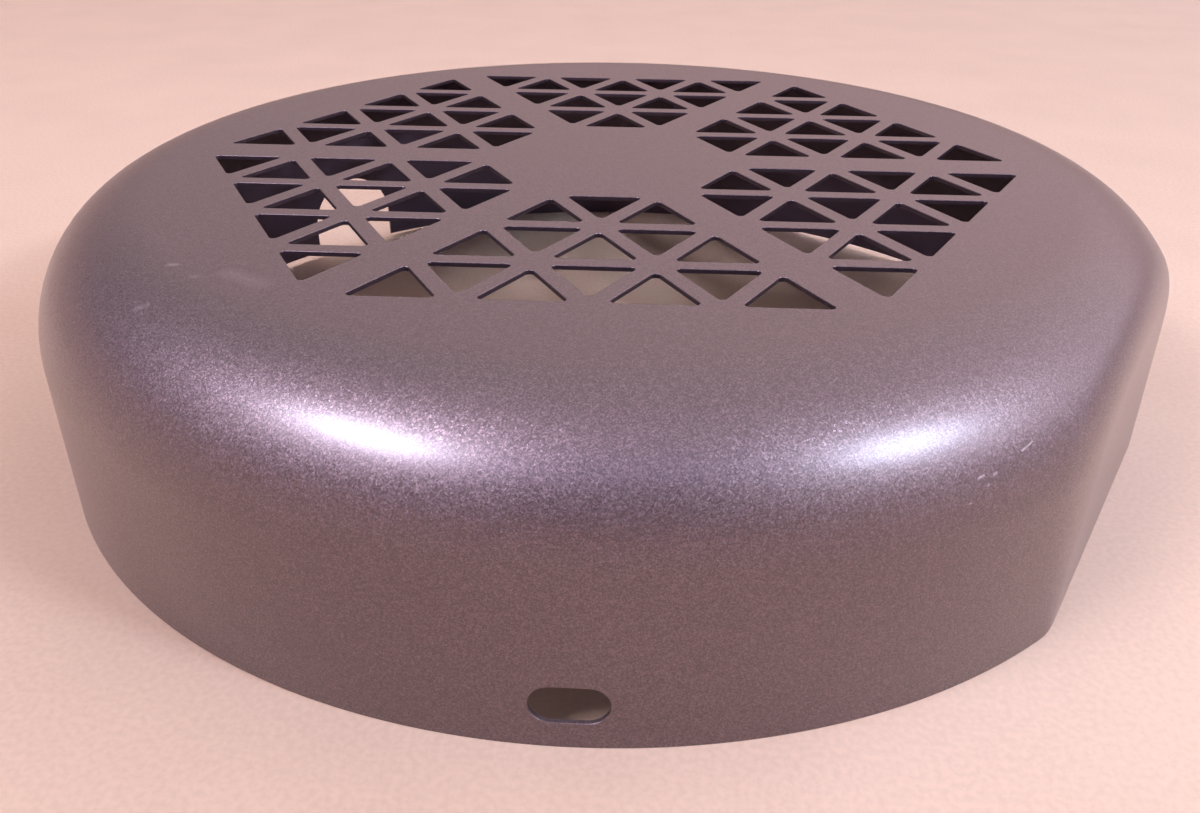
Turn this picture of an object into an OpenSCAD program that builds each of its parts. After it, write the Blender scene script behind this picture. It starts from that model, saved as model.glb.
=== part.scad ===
// Motor fan cover: one drawn sheet-steel cup with a punched air grille.
// The rim lies on Z = 0, the cup axis is Z and the grille faces up.
// The hexagon of the grille has two corners on the X axis.

/* [Cup] */
// Outer diameter of the round skirt
skirt_d = 200; // [190:1:230]
// Height from the rim to the top face
cover_h = 45; // [42:0.5:60]
// Outer radius of the shoulder between top face and skirt
shoulder_r = 19.5; // [12:0.5:22]
// Thickness of the painted sheet
sheet_t = 0.75; // [0.6:0.05:1.2]

/* [Side flat] */
// Depth the flat is pressed in behind the round skirt
flat_depth = 5.1; // [3:0.1:7]
// Direction the flat faces, turned from the X axis
flat_az = -30; // [-35:1:-25]
// Radius of the roll from the flat into the round skirt
flat_roll_r = 15; // [10:1:20]

/* [Grille] */
// Side of one triangular hole before its corners are rounded
hole_side = 12.9; // [10:0.1:13.5]
// Corner radius of one triangular hole
hole_corner_r = 0.7; // [0.3:0.1:1.5]
// Width of the thin bars between the holes
bar_w = 2.8; // [2.5:0.1:3.5]
// Width of the six spokes between the sectors
spoke_w = 7.9; // [6:0.1:10]
// Number of hole rows in each sector, counted outward from the hub
hole_rows = 3; // [2:1:3]

/* [Fixing slots] */
// Width of a slot, along the cup axis
slot_w = 5.8; // [4.5:0.1:6.5]
// Length of a slot, around the skirt
slot_l = 10.3; // [9:0.1:14]
// Height of the slot centre above the rim
slot_z = 7; // [6:0.1:10]
// Number of slots, spread evenly around the skirt
slot_count = 4; // [2:2:4]
// Direction of the first slot, turned from the X axis
slot_az = -90; // [-95:1:-85]

/* [Rim notch] */
// Width of the round-topped notch in the rim
notch_w = 21.4; // [16:0.2:24]
// Height of the notch above the rim
notch_h = 17; // [14:0.2:20]
// Direction of the notch, turned from the X axis
notch_az = 135; // [125:1:145]

/* [Hidden] */
$fn = 96;
steel_paint = [0.42, 0.39, 0.41];
sectors = 6;
skirt_r = skirt_d / 2;
flat_dist = skirt_r - flat_depth;
// Angle at which the roll of the flat runs out into the round skirt
roll_run_out = 6;
// Side of one triangle of the lattice that the holes stand in, and the height of its rows
pitch = hole_side + bar_w * sqrt(3);
row_h = pitch * sqrt(3) / 2;
// Shift of each sector away from the axis, which widens the spokes
sector_shift = spoke_w - bar_w;
// Distance from the base of a hole to its middle
hole_in_r = hole_side / (2 * sqrt(3));
// How far the corner arcs of a hole lap over its straight sides
corner_lap = 0.02;
// Length that cutting bodies run past the sheet
over = 5;

// Half section of a round-shouldered cup, from the axis outward
module cup_section(r, h, fillet, foot) {
    translate([0, -foot])
        square([r, h - fillet + foot]);
    square([r - fillet, h]);
    translate([r - fillet, h - fillet])
        circle(r = fillet);
}

// Plan of what the flat takes off a round of radius r, with a roll at each end
module flat_plan(r, dist, roll) {
    reach = sqrt(r * r + roll * roll - 2 * r * roll * cos(roll_run_out));
    half = sqrt(reach * reach - (dist - roll) * (dist - roll));
    far = r + over;
    difference() {
        polygon([[0, 0], [far, -far * half / (dist - roll)], [far, far * half / (dist - roll)]]);
        translate([0, -half])
            square([dist, 2 * half]);
        for (side = [-1, 1])
            translate([dist - roll, side * half])
                circle(r = roll);
    }
}

// Solid cup with the flat pressed in, set in from the outer face by inset
module cup_form(inset, foot) {
    difference() {
        rotate_extrude()
            cup_section(skirt_r - inset, cover_h - inset, shoulder_r - inset, foot);
        rotate([0, 0, flat_az])
            translate([0, 0, -foot - over])
                linear_extrude(height = cover_h + foot + 2 * over)
                    flat_plan(skirt_r - inset, flat_dist - inset, flat_roll_r - inset);
    }
}

// Plan of one triangular hole with rounded corners, apex along +X, middle at the origin
module hole_plan() {
    side_r = hole_corner_r - corner_lap;
    corner_in = 2 * (hole_in_r - side_r);
    polygon([
        for (corner = [0:2])
            for (lean = [-60, 60])
                let (turn = corner * 120)
                    [corner_in * cos(turn) + side_r * cos(turn + lean),
                     corner_in * sin(turn) + side_r * sin(turn + lean)]
    ]);
    for (corner = [0:2])
        rotate([0, 0, corner * 120])
            translate([corner_in, 0])
                circle(r = hole_corner_r);
}

module hole() {
    translate([0, 0, cover_h - sheet_t - over])
        linear_extrude(height = sheet_t + 2 * over)
            hole_plan();
}

// One sector of the grille, spreading outward along +X
module sector_holes() {
    for (row = [1:hole_rows]) {
        // Holes with the apex toward the hub
        for (i = [0:row])
            translate([sector_shift + (row + 1) * row_h - bar_w / 2 - hole_in_r, (i - row / 2) * pitch, 0])
                rotate([0, 0, 180])
                    hole();
        // Holes with the apex toward the skirt
        for (i = [0:row - 1])
            translate([sector_shift + row * row_h + bar_w / 2 + hole_in_r, (i - (row - 1) / 2) * pitch, 0])
                hole();
    }
}

// Obround cutter through the skirt, facing +X
module slot_cut() {
    translate([skirt_r - flat_depth - over, 0, slot_z])
        rotate([90, 0, 90])
            linear_extrude(height = flat_depth + 2 * over) {
                square([slot_l - slot_w, slot_w], center = true);
                for (side = [-1, 1])
                    translate([side * (slot_l - slot_w) / 2, 0])
                        circle(d = slot_w);
            }
}

// Round-topped cutter through the skirt and open at the rim, facing +X
module notch_cut() {
    translate([skirt_r - flat_depth - over, 0, 0])
        rotate([90, 0, 90])
            linear_extrude(height = flat_depth + 2 * over) {
                translate([-notch_w / 2, -over])
                    square([notch_w, notch_h - notch_w / 2 + over]);
                translate([0, notch_h - notch_w / 2])
                    circle(d = notch_w);
            }
}

module fan_cover() {
    color(steel_paint)
        difference() {
            cup_form(0, 0);
            cup_form(sheet_t, over);
            for (s = [0:sectors - 1])
                rotate([0, 0, (s + 0.5) * 360 / sectors])
                    sector_holes();
            for (s = [0:slot_count - 1])
                rotate([0, 0, slot_az + s * 360 / slot_count])
                    slot_cut();
            rotate([0, 0, notch_az])
                notch_cut();
        }
}

fan_cover();
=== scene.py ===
"""Motor fan cover: a painted sheet-steel cup with a punched air grille, on pale paper."""

import math

import bpy
import numpy as np
from mathutils import Matrix, Vector
from mathutils.geometry import delaunay_2d_cdt


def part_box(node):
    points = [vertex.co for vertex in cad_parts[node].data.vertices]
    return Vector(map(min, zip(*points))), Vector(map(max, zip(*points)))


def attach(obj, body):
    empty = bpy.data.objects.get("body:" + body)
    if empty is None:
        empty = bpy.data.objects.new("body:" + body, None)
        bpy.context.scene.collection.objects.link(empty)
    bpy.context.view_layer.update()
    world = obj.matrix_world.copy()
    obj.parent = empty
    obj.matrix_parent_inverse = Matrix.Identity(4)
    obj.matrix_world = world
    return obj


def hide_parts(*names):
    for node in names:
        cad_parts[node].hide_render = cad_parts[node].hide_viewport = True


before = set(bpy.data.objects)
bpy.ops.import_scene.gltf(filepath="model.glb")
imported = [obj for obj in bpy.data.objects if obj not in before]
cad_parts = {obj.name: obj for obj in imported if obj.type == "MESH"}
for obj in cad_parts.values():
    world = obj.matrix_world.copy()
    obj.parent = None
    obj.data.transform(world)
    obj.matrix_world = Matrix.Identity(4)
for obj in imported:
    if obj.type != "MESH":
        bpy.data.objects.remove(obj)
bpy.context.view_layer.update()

# Sizes of the cover, in metres
MM = 0.001
LOWEST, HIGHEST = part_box("fan_cover")
SKIRT_R = (HIGHEST.x - LOWEST.x) / 2
COVER_H = HIGHEST.z - LOWEST.z
SHOULDER_R = 19.5 * MM
SHEET_T = 0.75 * MM
FLAT_DEPTH = 5.1 * MM
FLAT_AZ = math.radians(-30)
# Depth over which the pressed flat rolls into the round form, softer at the shoulder than at the rim
ROLL_AT_TOP = 5.0 * MM
ROLL_AT_RIM = 0.7 * MM
HOLE_SIDE = 12.9 * MM
HOLE_CORNER_R = 0.7 * MM
BAR_W = 2.8 * MM
SPOKE_W = 7.9 * MM
HOLE_ROWS = 3
SECTORS = 6
SLOT_W = 5.8 * MM
SLOT_L = 10.3 * MM
SLOT_Z = 7 * MM
SLOT_TURNS = [math.radians(a) for a in (-90, 0, 90, 180)]
NOTCH_W = 21.4 * MM
NOTCH_H = 17 * MM
NOTCH_TURN = math.radians(135)
# Edge radii of the painted cuts, on the outer and the inner face
OUTER_EDGE_R = 0.14 * MM
INNER_EDGE_R = 0.1 * MM

# Mesh density
TURN_STEPS = 360
RUN_STEP = 1.6 * MM
CORNER_STEPS = 6
ROUND_END_STEPS = 14
EDGE_STEPS = 3
# Grid and rim points nearer than this to a cut are left out
CUT_MARGIN = 0.9 * MM
# Plan points nearer than this count as one
SAME_POINT = 1e-9
# Step over which the slope of the sheet is taken
SLOPE_STEP = 0.01 * MM
# The sheet is opened out along this turn, where it has no cut
SEAM_TURN = math.radians(45)

FULL_TURN = 2 * math.pi
QUARTER_TURN = math.pi / 2
FLAT_DIST = SKIRT_R - FLAT_DEPTH
FLAT_OUT = np.array([math.cos(FLAT_AZ), math.sin(FLAT_AZ), 0.0])
# Radius of the level top face, and runs along the sheet from its edge
TOP_R = SKIRT_R - SHOULDER_R
SHOULDER_RUN = SHOULDER_R * QUARTER_TURN
RIM_RUN = SHOULDER_RUN + COVER_H - SHOULDER_R
SLOT_RUN = RIM_RUN - SLOT_Z
NOTCH_AXIS_RUN = RIM_RUN - NOTCH_H + NOTCH_W / 2
# Distance from the side of a hole to its middle
HOLE_IN_R = HOLE_SIDE / (2 * math.sqrt(3))


def turned(points, angle):
    """Plan points turned about the origin."""
    c, s = math.cos(angle), math.sin(angle)
    return points @ np.array([[c, s], [-s, c]])


def arc(centre, radius, start, end, steps):
    """Points of an arc and the direction from its centre at each."""
    a = np.linspace(start, end, steps + 1)
    out = np.stack([np.cos(a), np.sin(a)], axis=1)
    return np.asarray(centre) + radius * out, out


def hole_outline():
    """Rounded triangle, apex along +X, with the direction into the hole at each point."""
    corner_in = 2 * (HOLE_IN_R - HOLE_CORNER_R)
    points, into = [], []
    for corner in range(3):
        a = corner * FULL_TURN / 3
        centre = (corner_in * math.cos(a), corner_in * math.sin(a))
        p, out = arc(centre, HOLE_CORNER_R, a - math.pi / 3, a + math.pi / 3, CORNER_STEPS)
        points.append(p)
        into.append(-out)
    return np.concatenate(points), np.concatenate(into)


def hole_places():
    """Middle and turn of every hole of the grille."""
    pitch = HOLE_SIDE + BAR_W * math.sqrt(3)
    row_h = pitch * math.sqrt(3) / 2
    shift = SPOKE_W - BAR_W
    places = []
    for sector in range(SECTORS):
        turn = (sector + 0.5) * FULL_TURN / SECTORS
        for row in range(1, HOLE_ROWS + 1):
            # Holes with the apex toward the hub, then those with the apex toward the skirt
            for i in range(row + 1):
                middle = (shift + (row + 1) * row_h - BAR_W / 2 - HOLE_IN_R, (i - row / 2) * pitch)
                places.append((turned(np.array(middle), turn), turn + math.pi))
            for i in range(row):
                middle = (shift + row * row_h + BAR_W / 2 + HOLE_IN_R, (i - (row - 1) / 2) * pitch)
                places.append((turned(np.array(middle), turn), turn))
    return places


def slot_outline(middle):
    """Obround in the opened-out skirt, long side around the skirt."""
    half, r = (SLOT_L - SLOT_W) / 2, SLOT_W / 2
    right, right_out = arc((middle + half, SLOT_RUN), r, -QUARTER_TURN, QUARTER_TURN, ROUND_END_STEPS)
    left, left_out = arc((middle - half, SLOT_RUN), r, QUARTER_TURN, 3 * QUARTER_TURN, ROUND_END_STEPS)
    return np.concatenate([right, left]), -np.concatenate([right_out, left_out])


def notch_outline(middle):
    """Round-topped notch in the opened-out skirt, from one rim corner over the top to the other."""
    r = NOTCH_W / 2
    top, out = arc((middle, NOTCH_AXIS_RUN), r, math.pi, FULL_TURN, 2 * ROUND_END_STEPS)
    first, last = (middle - r, RIM_RUN), (middle + r, RIM_RUN)
    into = np.concatenate([[(1, 1)], -out, [(-1, 1)]])
    return np.concatenate([[first], top, [last]]), into


class Plan:
    """Flat plan of one stretch of the sheet: points, directions out of the metal, cuts and borders."""

    def __init__(self):
        self.points = []
        self.into = []
        self.loops = []
        self.cuts = []
        self.borders = []

    def add(self, points, into=None):
        """Adds points and returns their numbers."""
        start = sum(len(p) for p in self.points)
        self.points.append(np.asarray(points, float))
        self.into.append(np.zeros((len(points), 2)) if into is None else np.asarray(into, float))
        return list(range(start, start + len(points)))

    def add_hole(self, outline, into):
        """Adds a closed cut."""
        loop = self.add(outline, into)
        self.loops.append(loop)
        self.cuts.append(loop)

    def triangulate(self):
        """Triangles of the metal between the cuts, up to where the rounded outer edges begin."""
        points, into = np.concatenate(self.points), np.concatenate(self.into)
        edges = [e for loop in self.loops for e in zip(loop, loop[1:] + loop[:1])]
        edges += [e for line in self.borders for e in zip(line, line[1:])]
        flat = [Vector(p) for p in points - OUTER_EDGE_R * into]
        made = delaunay_2d_cdt(flat, edges, [], 0, SAME_POINT)
        back = [origin[0] for origin in made[3]]
        cut_of = np.full(len(points), -1)
        for number, cut in enumerate(self.cuts):
            cut_of[cut] = number
        faces = []
        for face in made[2]:
            face = [back[v] for v in face]
            # A face whose corners all lie on one cut would close it
            owners = {cut_of[v] for v in face}
            if len(owners) > 1 or owners == {-1}:
                faces.append(face)
        return points, into, faces


def top_plan():
    """Plan of the level top face with its grille. Returns the plan and its outer ring."""
    plan = Plan()
    turns = SEAM_TURN + np.arange(TURN_STEPS) * FULL_TURN / TURN_STEPS
    ring = plan.add(TOP_R * np.stack([np.cos(turns), np.sin(turns)], axis=1))
    plan.borders.append(ring + ring[:1])
    outline, into = hole_outline()
    for middle, turn in hole_places():
        plan.add_hole(middle + turned(outline, turn), turned(into, turn))
    return plan, ring


def skirt_plan():
    """Plan of the opened-out shoulder and skirt: way around the skirt, run down from the top face.

    Returns the plan, its upper ring, its rim, and the points of one side of the seam by the other's.
    """
    plan = Plan()
    around = SKIRT_R * (SEAM_TURN + np.arange(TURN_STEPS + 1) * FULL_TURN / TURN_STEPS)
    start, end = around[0], around[-1]

    def placed(turn):
        """Way around the opened-out skirt at a turn."""
        return start + (SKIRT_R * turn - start) % (end - start)

    ring = plan.add([(a, 0.0) for a in around])
    rows = np.linspace(0, RIM_RUN, round(RIM_RUN / RUN_STEP) + 1)[1:-1]
    grid = np.array([(a, run) for run in rows for a in around[1:-1]])
    # Distance of the grid points from the notch, beside its straight sides and around its top
    notch_middle = placed(NOTCH_TURN)
    aside, below_axis = np.abs(grid[:, 0] - notch_middle), grid[:, 1] - NOTCH_AXIS_RUN
    beside = np.maximum(aside - NOTCH_W / 2, 0)
    around_top = np.hypot(aside, below_axis) - NOTCH_W / 2
    clear = np.where(below_axis > 0, beside, around_top) > CUT_MARGIN
    for turn in SLOT_TURNS:
        beyond = np.maximum(np.abs(grid[:, 0] - placed(turn)) - (SLOT_L - SLOT_W) / 2, 0)
        clear &= np.hypot(beyond, grid[:, 1] - SLOT_RUN) - SLOT_W / 2 > CUT_MARGIN
    plan.add(grid[clear])
    first_side = plan.add([(start, run) for run in rows])
    last_side = plan.add([(end, run) for run in rows])
    for turn in SLOT_TURNS:
        plan.add_hole(*slot_outline(placed(turn)))
    # The rim runs round to the notch, over it, and on
    notch, notch_into = notch_outline(notch_middle)
    before = [(a, RIM_RUN) for a in around if a < notch[0][0] - CUT_MARGIN]
    after = [(a, RIM_RUN) for a in around if a > notch[-1][0] + CUT_MARGIN]
    rim_before = plan.add(before, [(0, 1)] * len(before))
    over = plan.add(notch, notch_into)
    rim_after = plan.add(after, [(0, 1)] * len(after))
    plan.cuts.append(over)
    rim = rim_before + over + rim_after
    first_line = [ring[0]] + first_side + [rim[0]]
    last_line = [ring[-1]] + last_side + [rim[-1]]
    plan.borders += [ring, rim, first_line, last_line]
    return plan, ring, rim[:-1], dict(zip(last_line, first_line))


def top_sheet(points, into, depth):
    """Places plan points of the top face, with the sheet's normals and the directions into the cuts."""
    placed = np.column_stack([points, np.full(len(points), COVER_H - depth)])
    normal = np.tile([0.0, 0.0, 1.0], (len(points), 1))
    return placed, normal, np.column_stack([into, np.zeros(len(points))])


def on_skirt(around, run, depth):
    """Points of the shoulder and skirt, with the side flat pressed in."""
    turn = around / SKIRT_R
    bend = np.minimum(run / SHOULDER_R, QUARTER_TURN)
    drop = np.maximum(run - SHOULDER_RUN, 0)
    r = TOP_R + (SHOULDER_R - depth) * np.sin(bend)
    z = COVER_H - SHOULDER_R + (SHOULDER_R - depth) * np.cos(bend) - drop
    point = np.stack([r * np.cos(turn), r * np.sin(turn), z], axis=1)
    out = point @ FLAT_OUT
    limit = FLAT_DIST - depth
    roll = ROLL_AT_TOP + (ROLL_AT_RIM - ROLL_AT_TOP) * run / RIM_RUN
    # Smooth minimum of the round form and the flat: a parabola joins them over the roll
    near = np.maximum(roll - np.abs(out - limit), 0) / roll
    pressed = np.minimum(out, limit) - near ** 2 * roll / 4
    return point + (pressed - out)[:, None] * FLAT_OUT


def unit(vectors):
    """Vectors brought to length one."""
    return vectors / np.linalg.norm(vectors, axis=1)[:, None]


def skirt_sheet(points, into, depth):
    """Places plan points of the shoulder and skirt, with normals and the directions into the cuts."""
    around, run = points.T
    along = unit(on_skirt(around + SLOPE_STEP, run, depth) - on_skirt(around - SLOPE_STEP, run, depth))
    down = unit(on_skirt(around, run + SLOPE_STEP, depth) - on_skirt(around, run - SLOPE_STEP, depth))
    normal = unit(np.cross(down, along))
    return on_skirt(around, run, depth), normal, into[:, :1] * along + into[:, 1:] * down


def edge_rings():
    """Rings of a rounded cut edge from outer to inner face: distance back, depth, tilt of the normal."""
    tilts = np.linspace(0, QUARTER_TURN, EDGE_STEPS + 1)
    rings = []
    for t in tilts:
        rings.append((OUTER_EDGE_R * (1 - math.sin(t)), OUTER_EDGE_R * (1 - math.cos(t)), t))
    for t in tilts[::-1]:
        depth = SHEET_T - INNER_EDGE_R * (1 - math.cos(t))
        rings.append((INNER_EDGE_R * (1 - math.sin(t)), depth, math.pi - t))
    return rings


class Shell:
    """Collects the points, normals and faces of the finished sheet."""

    def __init__(self):
        self.points = []
        self.normals = []
        self.cut = []
        self.inner = []
        self.faces = []
        self.count = 0

    def add(self, points, normals, cut, inner):
        """Adds points, marked as on a cut edge or on the inner face. Returns their numbers."""
        numbers = np.arange(self.count, self.count + len(points))
        self.points.append(points)
        self.normals.append(normals)
        self.cut.append(np.full(len(points), cut))
        self.inner.append(np.full(len(points), inner))
        self.count += len(points)
        return numbers

    def lay(self, plan, sheet, rims, cut, shared=None, same=None):
        """Adds both faces of a plan and the rounded walls of its rims. Returns the faces' numbers.

        The points of a shared ring are taken from the sheet laid before, and those of one side of
        the seam from the other.
        """
        points, into, faces = plan.triangulate()
        rings = edge_rings()
        outer_face, inner_face = 0, len(rings) - 1
        placed = {}
        for key, (back, depth, tilt) in enumerate(rings):
            is_face = key in (outer_face, inner_face)
            chosen = np.arange(len(points)) if is_face else np.unique(np.concatenate(rims))
            p, normal, out = sheet(points[chosen] - back * into[chosen], into[chosen], depth)
            on_cut = np.any(into[chosen] != 0, axis=1)[:, None]
            length = np.where(on_cut, np.linalg.norm(out, axis=1)[:, None], 1)
            bent = math.cos(tilt) * normal + math.sin(tilt) * out / length
            # The rounded outer edge keeps the face's colour; the darker paint and painted shade begin on
            # the wall below it
            shown_cut = 0.0 if is_face or key < EDGE_STEPS else cut
            numbers = np.full(len(points), -1)
            numbers[chosen] = self.add(p, bent, shown_cut, float(key == inner_face))
            if shared is not None and is_face:
                ring, others = shared
                numbers[ring] = np.append(others[key], others[key][0])
            for old, new in (same or {}).items():
                numbers[old] = numbers[new]
            placed[key] = numbers
        for key in (outer_face, inner_face):
            self.faces += [[int(placed[key][v]) for v in face] for face in faces]
        for rim in rims:
            for key in range(inner_face):
                upper, lower = placed[key], placed[key + 1]
                for a, b in zip(rim, rim[1:] + rim[:1]):
                    self.faces.append([int(n) for n in (upper[a], upper[b], lower[b], lower[a])])
        return {key: placed[key] for key in (outer_face, inner_face)}

    def mesh(self, name):
        """Makes the mesh, with every face turned the way its normals point."""
        points, normals = np.concatenate(self.points), np.concatenate(self.normals)
        faces = []
        for face in self.faces:
            a, b, c = points[face[0]], points[face[1]], points[face[2]]
            outward = np.dot(np.cross(b - a, c - a), normals[face].sum(axis=0)) > 0
            faces.append(face if outward else face[::-1])
        used = np.unique(np.concatenate([np.array(f) for f in faces]))
        renumber = np.full(len(points), -1)
        renumber[used] = np.arange(len(used))
        mesh = bpy.data.meshes.new(name)
        mesh.from_pydata(points[used].tolist(), [], [renumber[f].tolist() for f in faces])
        mesh.polygons.foreach_set("use_smooth", [True] * len(mesh.polygons))
        for label, values in (("cut_edge", self.cut), ("inner_face", self.inner)):
            attribute = mesh.attributes.new(label, "FLOAT", "POINT")
            attribute.data.foreach_set("value", np.concatenate(values)[used])
        mesh.normals_split_custom_set_from_vertices(normals[used].tolist())
        mesh.update()
        return mesh


def build_cover():
    """The drawn and punched cup as one closed sheet. Of the cuts, only the grille's are marked, for the
    darker paint and painted shade on their walls.
    """
    shell = Shell()
    plan, ring = top_plan()
    top = shell.lay(plan, top_sheet, plan.loops, cut=1.0)
    others = {key: numbers[ring] for key, numbers in top.items()}
    plan, ring, rim, same = skirt_plan()
    shell.lay(plan, skirt_sheet, plan.loops + [rim], cut=0.0, shared=(ring, others), same=same)
    cover = bpy.data.objects.new("painted_cover", shell.mesh("painted_cover"))
    bpy.context.scene.collection.objects.link(cover)
    return cover


# Materials

def new_material(name):
    """A material with a Principled shader. Returns the material, its tree and the shader."""
    material = bpy.data.materials.new(name)
    material.use_nodes = True
    tree = material.node_tree
    return material, tree, tree.nodes["Principled BSDF"]


def feed(tree, socket, value):
    """Links a socket to an output, or sets its value."""
    if isinstance(value, bpy.types.NodeSocket):
        tree.links.new(value, socket)
    else:
        socket.default_value = value


def node(tree, kind, inputs=None, **settings):
    """Adds a node with settings. Input values that are sockets are linked, and others are set."""
    made = tree.nodes.new(kind)
    for key, value in settings.items():
        setattr(made, key, value)
    for key, value in (inputs or {}).items():
        feed(tree, made.inputs[key], value)
    return made


def number_math(tree, operation, first, second, clamp=False):
    """Result of an operation on two numbers."""
    inputs = {0: first, 1: second}
    return node(tree, "ShaderNodeMath", inputs, operation=operation, use_clamp=clamp).outputs[0]


def vector_math(tree, operation, first, second=(0, 0, 0)):
    """Result of an operation on vectors: a number for a dot product or distance, and else a vector."""
    made = node(tree, "ShaderNodeVectorMath", {0: first, 1: second}, operation=operation)
    return made.outputs["Value" if operation in ("DOT_PRODUCT", "DISTANCE") else "Vector"]


def scaled(tree, vector, factor):
    """A vector times a number."""
    inputs = {0: vector, "Scale": factor}
    return node(tree, "ShaderNodeVectorMath", inputs, operation="SCALE").outputs["Vector"]


def map_range(tree, value, from_range=(0.0, 1.0), to_range=(0.0, 1.0)):
    """A number carried from one range to another and held within it."""
    names = ("Value", "From Min", "From Max", "To Min", "To Max")
    inputs = dict(zip(names, (value, *from_range, *to_range)))
    return node(tree, "ShaderNodeMapRange", inputs).outputs[0]


def noise(tree, place, size, detail):
    """Soft noise with features of a size."""
    inputs = {"Vector": place, "Scale": 1 / size, "Detail": detail}
    return node(tree, "ShaderNodeTexNoise", inputs).outputs[0]


def cells(tree, place, size):
    """Three chance values, the same all over each cell of a size."""
    inputs = {"Vector": place, "Scale": 1 / size}
    return node(tree, "ShaderNodeTexVoronoi", inputs).outputs["Color"]


def bump(tree, height, strength, distance):
    """Normal of a finely uneven surface."""
    inputs = {"Height": height, "Strength": strength, "Distance": distance}
    return node(tree, "ShaderNodeBump", inputs).outputs[0]


def blend_colours(tree, factor, low, high):
    """Colour between two others by a factor."""
    # The node's colour sockets come after those for numbers and vectors
    inputs = {"Factor": factor, 6: low, 7: high}
    return node(tree, "ShaderNodeMix", inputs, data_type="RGBA").outputs[2]


# Paint: cells of flake, lean of their normals, orange peel of the coat
FLAKE_SIZE = 0.2 * MM
FINE_FLAKE_SIZE = 0.15 * MM
FLAKE_LEAN = 0.2
# Middle of the chance values, at which a flake lies level
FLAKE_MIDDLE = (0.5, 0.5, 0.5)
FLAKE_ROUGHNESS = (0.45, 0.6)
# Power that leaves few of the flakes bright
SHADE_POWER = 2.0
PEEL_SIZE = 2.2 * MM
PEEL_DETAIL = 2.0
PEEL_STRENGTH = 0.2
PEEL_HEIGHT = 0.05 * MM
PAINT_DULL = (0.111, 0.079, 0.087, 1)
PAINT_BRIGHT = (0.242, 0.172, 0.19, 1)
# Colour of the grille's cut walls: thin paint, and painted shade in the holes
CUT_PAINT_AND_SHADE = (0.075, 0.048, 0.065, 1)
# Colour of the inner face: a duller coat, and painted shade inside the cup
INSIDE_PAINT_AND_SHADE = (0.09, 0.058, 0.09, 1)
PAINT_METALLIC = 0.85
COAT_WEIGHT = 1.0
COAT_ROUGHNESS = 0.3
RUBBED = (0.5, 0.43, 0.47, 1)
# Scuffs, specks and a scratch in the paint: two ends, half width, strength; lengths in millimetres
WEAR = [
    ((-50.5, -59, 45), (-44.5, -62.5, 45), 2.2, 0.16),
    ((-60, -56.4, 45), (-59, -56.4, 45), 0.7, 0.5),
    ((-55.2, -60.4, 45), (-54.6, -60.4, 45), 0.8, 0.22),
    ((-61, -66.2, 42.5), (-59.4, -66.2, 43), 0.8, 0.25),
    ((55.4, -80.3, 34.9), (53.9, -81.7, 34.4), 0.2, 0.7),
    ((47.8, -86.1, 33), (48.5, -85.6, 33.2), 0.25, 0.7),
    ((50, -84.9, 32.9), (50.3, -84.8, 33), 0.3, 0.9),
    ((49.2, -85.8, 31.8), (49.3, -85.7, 31.9), 0.22, 0.7),
    ((46.9, -87.6, 30.3), (47, -87.5, 30.4), 0.2, 0.6),
]


def wear_mask(tree, place):
    """Strength of the wear at a place: each mark fades out sideways from the line between its ends."""
    mask = 0.0
    for start, end, half_width, strength in WEAR:
        start, end = MM * Vector(start), MM * Vector(end)
        run = end - start
        past = vector_math(tree, "SUBTRACT", place, start)
        along = vector_math(tree, "DOT_PRODUCT", past, run)
        share = number_math(tree, "DIVIDE", along, run.length_squared, clamp=True)
        away = vector_math(tree, "DISTANCE", past, scaled(tree, run, share))
        mark = map_range(tree, away, (half_width * MM, 0.0), (0.0, strength))
        mask = number_math(tree, "MAXIMUM", mask, mark)
    return mask


def cover_paint():
    """Satin charcoal paint with fine metal flake."""
    material, tree, shader = new_material("cover_paint")
    place = node(tree, "ShaderNodeTexCoord").outputs["Object"]
    peel = bump(tree, noise(tree, place, PEEL_SIZE, PEEL_DETAIL), PEEL_STRENGTH, PEEL_HEIGHT)
    # Each flake has its own lean and gloss, and finer ones their own shade
    flake = cells(tree, place, FLAKE_SIZE)
    fine = cells(tree, place, FINE_FLAKE_SIZE)
    gloss = node(tree, "ShaderNodeSeparateColor", {0: flake}).outputs["Blue"]
    shade = node(tree, "ShaderNodeSeparateColor", {0: fine}).outputs["Red"]
    shade = number_math(tree, "POWER", shade, SHADE_POWER)
    lean = scaled(tree, vector_math(tree, "SUBTRACT", flake, FLAKE_MIDDLE), FLAKE_LEAN)
    tilted = vector_math(tree, "NORMALIZE", vector_math(tree, "ADD", peel, lean))
    colour = blend_colours(tree, shade, PAINT_DULL, PAINT_BRIGHT)
    colour = blend_colours(tree, wear_mask(tree, place), colour, RUBBED)
    # The inside and the cut walls of the grille are darker: partly thinner, duller paint, partly painted
    # shade inside the cup and in the holes
    for label, paint in (("inner_face", INSIDE_PAINT_AND_SHADE), ("cut_edge", CUT_PAINT_AND_SHADE)):
        mark = node(tree, "ShaderNodeAttribute", attribute_name=label).outputs["Fac"]
        colour = blend_colours(tree, mark, colour, paint)
    feed(tree, shader.inputs["Base Color"], colour)
    feed(tree, shader.inputs["Roughness"], map_range(tree, gloss, to_range=FLAKE_ROUGHNESS))
    feed(tree, shader.inputs["Normal"], tilted)
    feed(tree, shader.inputs["Coat Normal"], peel)
    shader.inputs["Metallic"].default_value = PAINT_METALLIC
    shader.inputs["Coat Weight"].default_value = COAT_WEIGHT
    shader.inputs["Coat Roughness"].default_value = COAT_ROUGHNESS
    return material


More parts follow.
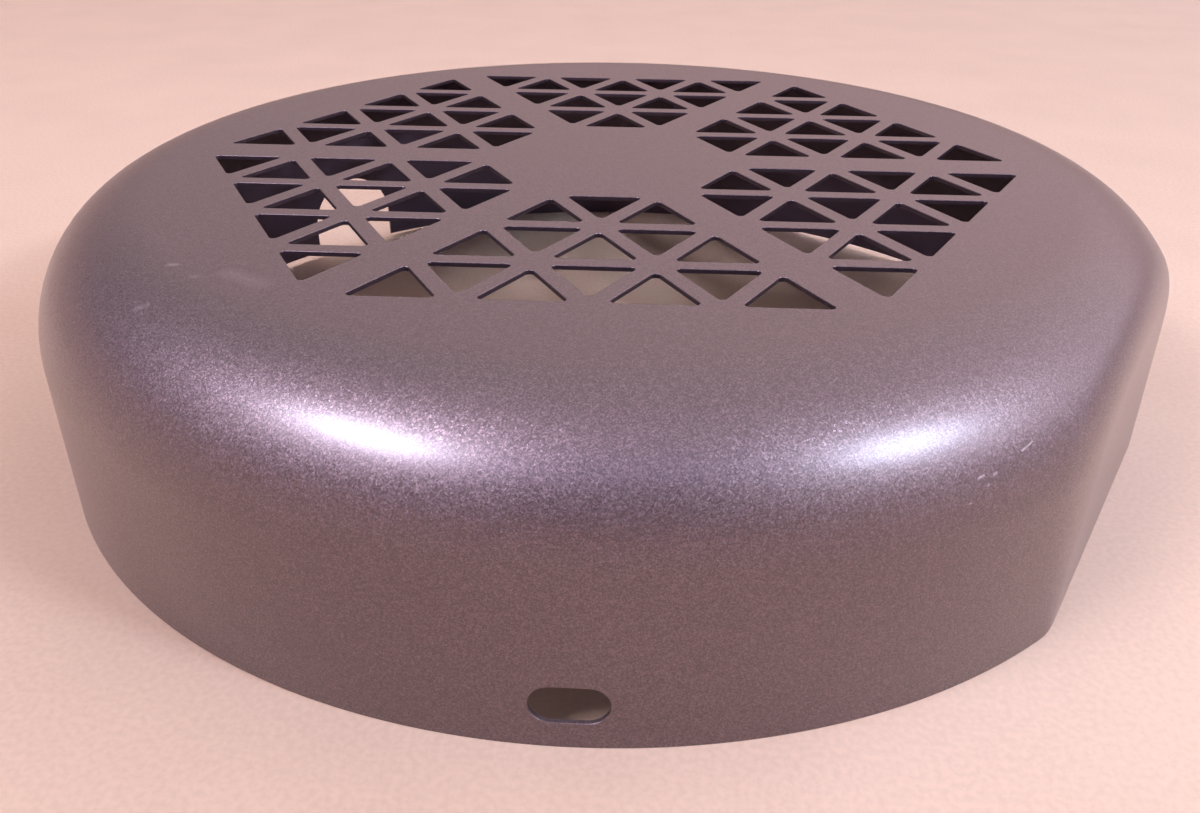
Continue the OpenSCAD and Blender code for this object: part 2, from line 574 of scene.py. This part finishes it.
PAPER_DARK = (0.72, 0.54, 0.443, 1)
PAPER_PALE = (0.88, 0.664, 0.545, 1)
PAPER_ROUGHNESS = 0.9
PAPER_SPECULAR = 0.2
CLOUD_SIZE = 35 * MM
CLOUD_DETAIL = 3.0
FIBRE_SIZE = 0.95 * MM
FIBRE_DETAIL = 4.0
# Stretch of the noise that shows as fibre, and its share of the paper's tone
FIBRE_RANGE = (0.35, 0.65)
FIBRE_SHARE = 0.4
FIBRE_STRENGTH = 0.08
FIBRE_HEIGHT = 0.1 * MM


def paper():
    """Warm buff paper with faint fibres and cloudy tone."""
    material, tree, shader = new_material("paper")
    place = node(tree, "ShaderNodeTexCoord").outputs["Object"]
    cloud = noise(tree, place, CLOUD_SIZE, CLOUD_DETAIL)
    fibre = noise(tree, place, FIBRE_SIZE, FIBRE_DETAIL)
    grain = map_range(tree, fibre, from_range=FIBRE_RANGE)
    tone = node(tree, "ShaderNodeMix", {"Factor": FIBRE_SHARE, 2: cloud, 3: grain}).outputs[0]
    feed(tree, shader.inputs["Base Color"], blend_colours(tree, tone, PAPER_DARK, PAPER_PALE))
    feed(tree, shader.inputs["Normal"], bump(tree, fibre, FIBRE_STRENGTH, FIBRE_HEIGHT))
    shader.inputs["Roughness"].default_value = PAPER_ROUGHNESS
    shader.inputs["Specular IOR Level"].default_value = PAPER_SPECULAR
    return material


# Stage, light and camera

FLOOR_TURNS = 180
# Rings of the paper's mesh, close together under the rim
NEAR_RINGS = (45, 65, 78, 86, 92, 96, 100, 104, 108, 114, 122, 135, 155, 200, 400, 1500)
# Far out the paper sweeps up all round, as a plain backdrop
SWEEP_FROM, SWEEP_TO = 3.5, 6.0
SWEEP_H = 1.2
SWEEP_STEPS = 12
SWEEP_RINGS = np.linspace(SWEEP_FROM, SWEEP_TO, SWEEP_STEPS + 1)
FLOOR_RINGS = [r * MM for r in NEAR_RINGS] + list(SWEEP_RINGS)
# The paper does not lie quite flat and sags under the rim: azimuth of the middle, half angle, depth
SAGS = [(50, 20, 1.3 * MM), (141, 28, 1.6 * MM)]
# Distance from the rim over which a sag fades out
SAG_REACH = 25 * MM


def build_floor():
    """Paper under the cover."""
    points = [(0, 0, 0)]
    for r in FLOOR_RINGS:
        fall = math.exp(-(((r - SKIRT_R) / SAG_REACH) ** 2))
        rise = SWEEP_H * max((r - SWEEP_FROM) / (SWEEP_TO - SWEEP_FROM), 0) ** 2
        for step in range(FLOOR_TURNS):
            azimuth = step * 360 / FLOOR_TURNS
            z = rise
            for middle, half_angle, depth in SAGS:
                off = min(abs(azimuth - middle) / half_angle, 1)
                z -= depth * fall * math.cos(off * QUARTER_TURN) ** 2
            turn = math.radians(azimuth)
            points.append((r * math.cos(turn), r * math.sin(turn), z))
    faces = []
    for step in range(FLOOR_TURNS):
        after = (step + 1) % FLOOR_TURNS
        faces.append((0, 1 + step, 1 + after))
        for ring in range(len(FLOOR_RINGS) - 1):
            inner, outer = 1 + ring * FLOOR_TURNS, 1 + (ring + 1) * FLOOR_TURNS
            faces.append((inner + step, outer + step, outer + after, inner + after))
    mesh = bpy.data.meshes.new("floor")
    mesh.from_pydata(points, [], faces)
    mesh.polygons.foreach_set("use_smooth", [True] * len(mesh.polygons))
    mesh.materials.append(paper())
    floor = bpy.data.objects.new("floor", mesh)
    bpy.context.scene.collection.objects.link(floor)


def toward(azimuth, elevation):
    """Unit vector at an azimuth from +X and an elevation, in degrees."""
    a, e = math.radians(azimuth), math.radians(elevation)
    return Vector((math.cos(e) * math.cos(a), math.cos(e) * math.sin(a), math.sin(e)))


# Places of the lamps: target, azimuth, elevation, distance and size, in metres and degrees
LEFT = ((-0.055, -0.075, 0.035), -143, 47, 1.6, (0.62, 0.18))
RIGHT = ((0.065, -0.07, 0.033), -27, 36.2, 0.8, (0.17, 0.07))
FRONT = ((0.0, -0.075, 0.035), -86, 46, 1.6, (1.6, 0.3))
BACK_RIGHT = ((0.25, 0.38, 0.0), 22, 20, 1.5, (0.6, 0.6))
# Lamps: name, place, watts, colour, and whether they light matt surfaces and gloss
LAMPS = [
    ("lamp_left", LEFT, 3.4, (1.05, 0.94, 0.98), True, True),
    ("sheen_left", LEFT, 22, (0.96, 0.93, 1.27), False, True),
    ("lamp_right", RIGHT, 0.86, (0.84, 0.97, 1.12), True, False),
    ("sheen_right", RIGHT, 5.2, (1.0, 1.1, 1.4), False, True),
    ("sheen_front", FRONT, 1.5, (0.84, 0.78, 1.6), False, True),
    ("skylight", BACK_RIGHT, 4.8, (0.68, 0.85, 1.12), True, False),
]
# Angle over which the lamps that light the paper fan out, so that none of it lies in a hot spot
LAMP_FAN = math.radians(100)


def soft_light(name, place, watts, colour, matt, gloss):
    """A rectangular lamp that looks at a target. It lights matt surfaces, gloss or both."""
    target, azimuth, elevation, distance, size = place
    lamp = bpy.data.lights.new(name, "AREA")
    lamp.shape = "RECTANGLE"
    lamp.size, lamp.size_y = size
    lamp.energy = watts
    lamp.color = colour
    if matt:
        lamp.spread = LAMP_FAN
    holder = bpy.data.objects.new(name, lamp)
    out = toward(azimuth, elevation)
    holder.location = Vector(target) + distance * out
    holder.rotation_euler = out.to_track_quat("Z", "Y").to_euler()
    holder.visible_camera = False
    holder.visible_diffuse = matt
    holder.visible_glossy = gloss
    bpy.context.scene.collection.objects.link(holder)


# Light of the room by direction, as azimuth, elevation and colour
ROOM_LIGHT = [
    (72, 60, (1.1, 0.92, 0.94, 1)),
    (72, -30, (0.43, 0.1, 0.04, 1)),
    (0, 0, (1.4, 1.13, 1.24, 1)),
]
# Power of the cosine by which each of them fades sideways
ROOM_FADE = 2.0
BLACK = (0, 0, 0, 1)


def room():
    """World light that fades smoothly from each direction of the room to the next."""
    world = bpy.data.worlds.new("room")
    bpy.context.scene.world = world
    world.use_nodes = True
    tree = world.node_tree
    out = node(tree, "ShaderNodeTexCoord").outputs["Generated"]
    light = (0, 0, 0)
    for azimuth, elevation, colour in ROOM_LIGHT:
        ahead = vector_math(tree, "DOT_PRODUCT", out, toward(azimuth, elevation))
        facing = number_math(tree, "MAXIMUM", ahead, 0.0)
        share = number_math(tree, "POWER", facing, ROOM_FADE)
        light = vector_math(tree, "ADD", light, blend_colours(tree, share, BLACK, colour))
    feed(tree, tree.nodes["Background"].inputs["Color"], light)


# Camera found from the lattice of holes and the rim in the photograph
CAMERA_AT = (8.159 * MM, -194.993 * MM, 102.904 * MM)
CAMERA_RIGHT = Vector((0.9985024, 0.0541059, 0.0080943))
CAMERA_UP = Vector((-0.0337223, 0.4922059, 0.8698254))
CAMERA_LENS = 32.196
SENSOR_W = 36.0
CLIP_START = 0.01


def place_camera():
    """Camera at the photograph's viewing angle."""
    data = bpy.data.cameras.new("camera")
    data.sensor_fit = "HORIZONTAL"
    data.sensor_width = SENSOR_W
    data.lens = CAMERA_LENS
    data.clip_start = CLIP_START
    camera = bpy.data.objects.new("camera", data)
    back = CAMERA_RIGHT.cross(CAMERA_UP)
    turn = Matrix((CAMERA_RIGHT, CAMERA_UP, back)).transposed().to_4x4()
    camera.matrix_world = Matrix.Translation(CAMERA_AT) @ turn
    bpy.context.scene.collection.objects.link(camera)
    bpy.context.scene.camera = camera


cover = build_cover()
cover.data.materials.append(cover_paint())
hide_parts("fan_cover")
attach(cover, "root")
build_floor()
for lamp in LAMPS:
    soft_light(*lamp)
room()
place_camera()
bpy.context.scene.view_settings.view_transform = "Standard"
